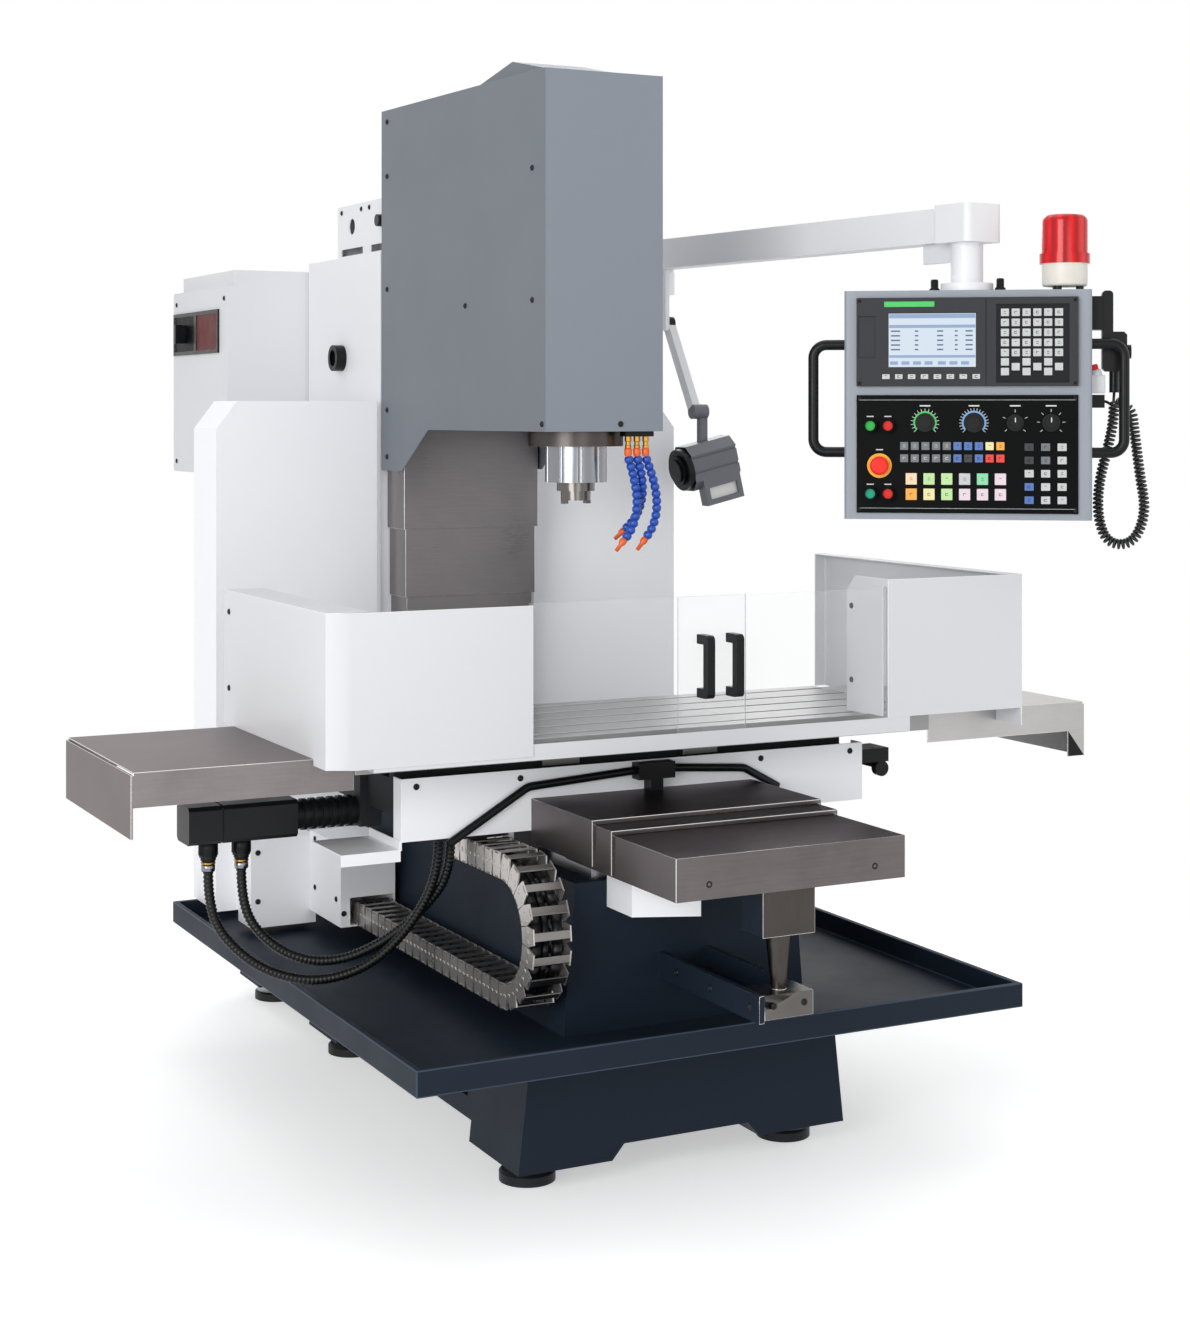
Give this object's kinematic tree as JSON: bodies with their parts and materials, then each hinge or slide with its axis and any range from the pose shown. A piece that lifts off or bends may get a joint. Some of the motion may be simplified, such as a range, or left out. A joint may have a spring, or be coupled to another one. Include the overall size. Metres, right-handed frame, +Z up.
{
  "type": "cnc machining center",
  "caption": "Open bed-type vertical machining center: column and sliding head, cross table with guards and sliding doors, drip tray, energy chain and a control pendant on a swing arm.",
  "frame": {"origin": "on the floor, under the middle of the machine's overall box", "axes": "+X to the right seen from the operator, +Y from the operator to the back, +Z up"},
  "size_m": [2.33, 2.7943, 2.448],
  "materials": {
    "navy_paint": "fine textured enamel",
    "white_paint": "smooth semi-gloss enamel",
    "grey_paint": "fine textured enamel",
    "pendant_grey": "smooth enamel",
    "cast_iron": "machined and painted casting",
    "steel": "brushed",
    "cover_steel": "cold-rolled way cover sheet",
    "chain": "satin",
    "black_metal": "satin black",
    "motor_black": "satin black enamel",
    "hose_rubber": "matt rubber",
    "clear_sheet": "clear polycarbonate",
    "hose_blue": "moulded plastic",
    "bezel": "moulded plastic",
    "panel_black": "printed panel foil",
    "key_grey": "moulded keys",
    "knob_black": "moulded knob",
    "green_plastic": "moulded cap",
    "red_plastic": "moulded cap",
    "teal_plastic": "moulded cap",
    "beacon_red": "ribbed lens",
    "handset_grey": "moulded case"
  },
  "bodies": {
    "base": {"base_casting": "navy_paint", "drip_tray": "navy_paint", "levelling_feet": "black_metal", "column": "white_paint", "splash_panels": "white_paint", "electrical_cabinet": "white_paint", "z_motor_cover": "white_paint", "axis_motors": "motor_black", "drag_chain": "chain", "y_cover_front": "cover_steel", "cover_support": "steel", "arm_bracket": "white_paint", "z_cover_lower": "cover_steel"},
    "saddle": {"saddle_casting": "cast_iron", "saddle_cover": "white_paint", "x_motor": "motor_black", "motor_hoses": "hose_rubber", "y_cover_rear": "cover_steel", "limit_switches": "black_metal"},
    "table": {"table": "cast_iron", "trough": "white_paint", "guard_left": "white_paint", "guard_right": "white_paint", "x_covers": "white_paint"},
    "head": {"head_casting": "cast_iron", "head_cover": "grey_paint", "spindle_motor": "motor_black", "spindle_housing": "black_metal", "z_cover_upper": "cover_steel", "coolant_nozzles": "hose_blue"},
    "pendant": {"pendant_box": "pendant_grey", "display_unit": "bezel", "operator_panel": "panel_black", "panel_keys": "key_grey", "pendant_handles": "steel", "beacon": "beacon_red", "handset": "handset_grey", "handset_cord": "hose_rubber"},
    "cabinet_door": {"cabinet_door": "white_paint"},
    "main_switch_knob": {"main_switch_knob": "knob_black"},
    "y_ball_screw": {"y_ball_screw": "steel"},
    "z_ball_screw": {"z_ball_screw": "steel"},
    "x_ball_screw": {"x_ball_screw": "steel"},
    "y_cover_middle": {"y_cover_middle": "cover_steel"},
    "z_cover_middle": {"z_cover_middle": "cover_steel"},
    "door_left": {"door_left": "clear_sheet"},
    "door_right": {"door_right": "clear_sheet"},
    "spindle": {"spindle": "steel"},
    "swing_arm": {"swing_arm": "white_paint"},
    "feed_knob": {"feed_knob": "knob_black"},
    "override_knob": {"override_knob": "knob_black"},
    "mode_knob": {"mode_knob": "knob_black"},
    "spindle_knob": {"spindle_knob": "knob_black"},
    "start_button": {"start_button": "green_plastic"},
    "stop_button": {"stop_button": "red_plastic"},
    "ready_button": {"ready_button": "teal_plastic"},
    "reset_button": {"reset_button": "red_plastic"},
    "emergency_stop": {"emergency_stop": "red_plastic"},
    "light_arm": {"light_arm": "white_paint"},
    "lamp_head": {"lamp_head": "white_paint"}
  },
  "joints": [
    {"name": "saddle_slide", "type": "slide", "parent": "base", "child": "saddle", "axis": [0, 1, 0], "range_m": [-0.06, 0.3], "deforming": ["drag_chain"]},
    {"name": "table_slide", "type": "slide", "parent": "saddle", "child": "table", "axis": [1, 0, 0], "range_m": [-0.3, 0.3]},
    {"name": "head_slide", "type": "slide", "parent": "base", "child": "head", "axis": [0, 0, 1], "range_m": [-0.36, 0.06]},
    {"name": "y_cover_slide", "type": "slide", "parent": "base", "child": "y_cover_middle", "axis": [0, 1, 0], "range_m": [-0.0305, 0.1505]},
    {"name": "z_cover_slide", "type": "slide", "parent": "base", "child": "z_cover_middle", "axis": [0, 0, 1], "range_m": [-0.1805, 0.0305]},
    {"name": "y_screw_turn", "type": "hinge", "parent": "base", "child": "y_ball_screw", "pos_m": [0, -0.9, 0.688], "axis": [0, 1, 0], "range_deg": [-2180, 10820]},
    {"name": "x_screw_turn", "type": "hinge", "parent": "saddle", "child": "x_ball_screw", "pos_m": [0, -0.507, 0.744], "axis": [1, 0, 0], "range_deg": [-10820, 10820]},
    {"name": "z_screw_turn", "type": "hinge", "parent": "base", "child": "z_ball_screw", "pos_m": [0, 0.365, 1.6], "axis": [0, 0, 1], "range_deg": [-12980, 2180]},
    {"name": "left_door_slide", "type": "slide", "parent": "table", "child": "door_left", "axis": [1, 0, 0], "range_m": [-0.36, 0]},
    {"name": "right_door_slide", "type": "slide", "parent": "table", "child": "door_right", "axis": [1, 0, 0], "range_m": [0, 0.36]},
    {"name": "spindle_turn", "type": "hinge", "parent": "head", "child": "spindle", "pos_m": [0, -0.442, 1.5], "axis": [0, 0, 1], "continuous": true},
    {"name": "cabinet_door_hinge", "type": "hinge", "parent": "base", "child": "cabinet_door", "pos_m": [0.447, 1.3525, 1.7], "axis": [0, 0, -1], "range_deg": [0, 110]},
    {"name": "main_switch_turn", "type": "hinge", "parent": "base", "child": "main_switch_knob", "pos_m": [-0.446, 1.229, 1.841], "axis": [-1, 0, 0], "range_deg": [0, 90]},
    {"name": "arm_swing", "type": "hinge", "parent": "base", "child": "swing_arm", "pos_m": [0.63, 0.32, 2.04], "axis": [0, 0, 1], "range_deg": [-11, 50]},
    {"name": "pendant_turn", "type": "hinge", "parent": "swing_arm", "child": "pendant", "pos_m": [0.771, -0.916, 1.93], "axis": [0, 0, 1], "range_deg": [-34, 34]},
    {"name": "feed_knob_turn", "type": "hinge", "parent": "pendant", "child": "feed_knob", "pos_m": [0.65241, -0.9176, 1.591], "axis": [-0.5878, -0.809, 0], "range_deg": [-130, 130]},
    {"name": "override_knob_turn", "type": "hinge", "parent": "pendant", "child": "override_knob", "pos_m": [0.7414, -0.98226, 1.591], "axis": [-0.5878, -0.809, 0], "range_deg": [-130, 130]},
    {"name": "mode_knob_turn", "type": "hinge", "parent": "pendant", "child": "mode_knob", "pos_m": [0.81583, -1.03633, 1.591], "axis": [-0.5878, -0.809, 0], "range_deg": [-130, 130]},
    {"name": "spindle_knob_turn", "type": "hinge", "parent": "pendant", "child": "spindle_knob", "pos_m": [0.88055, -1.08336, 1.591], "axis": [-0.5878, -0.809, 0], "range_deg": [-130, 130]},
    {"name": "start_button_press", "type": "slide", "parent": "pendant", "child": "start_button", "axis": [0.5878, 0.809, 0], "range_m": [0, 0.004], "stiffness_N_per_m": 400, "springref_m": -0.002},
    {"name": "stop_button_press", "type": "slide", "parent": "pendant", "child": "stop_button", "axis": [0.5878, 0.809, 0], "range_m": [0, 0.004], "stiffness_N_per_m": 400, "springref_m": -0.002},
    {"name": "ready_button_press", "type": "slide", "parent": "pendant", "child": "ready_button", "axis": [0.5878, 0.809, 0], "range_m": [0, 0.004], "stiffness_N_per_m": 400, "springref_m": -0.002},
    {"name": "reset_button_press", "type": "slide", "parent": "pendant", "child": "reset_button", "axis": [0.5878, 0.809, 0], "range_m": [0, 0.004], "stiffness_N_per_m": 400, "springref_m": -0.002},
    {"name": "emergency_stop_press", "type": "slide", "parent": "pendant", "child": "emergency_stop", "axis": [0.5878, 0.809, 0], "range_m": [0, 0.005], "stiffness_N_per_m": 900, "springref_m": -0.002},
    {"name": "light_arm_hinge", "type": "hinge", "parent": "base", "child": "light_arm", "pos_m": [0.62, 0.238, 1.856], "axis": [1, 0, 0], "range_deg": [-28, 6]},
    {"name": "lamp_hinge", "type": "hinge", "parent": "light_arm", "child": "lamp_head", "pos_m": [0.645, 0.092, 1.616], "axis": [1, 0, 0], "range_deg": [-28, 8]}
  ],
  "couplings": [
    {"joint": "y_cover_slide", "follows": "saddle_slide", "ratio": 0.5},
    {"joint": "z_cover_slide", "follows": "head_slide", "ratio": 0.5},
    {"joint": "y_screw_turn", "follows": "saddle_slide", "rad_per_m": 628.32},
    {"joint": "x_screw_turn", "follows": "table_slide", "rad_per_m": 628.32},
    {"joint": "z_screw_turn", "follows": "head_slide", "rad_per_m": 628.32}
  ]
}
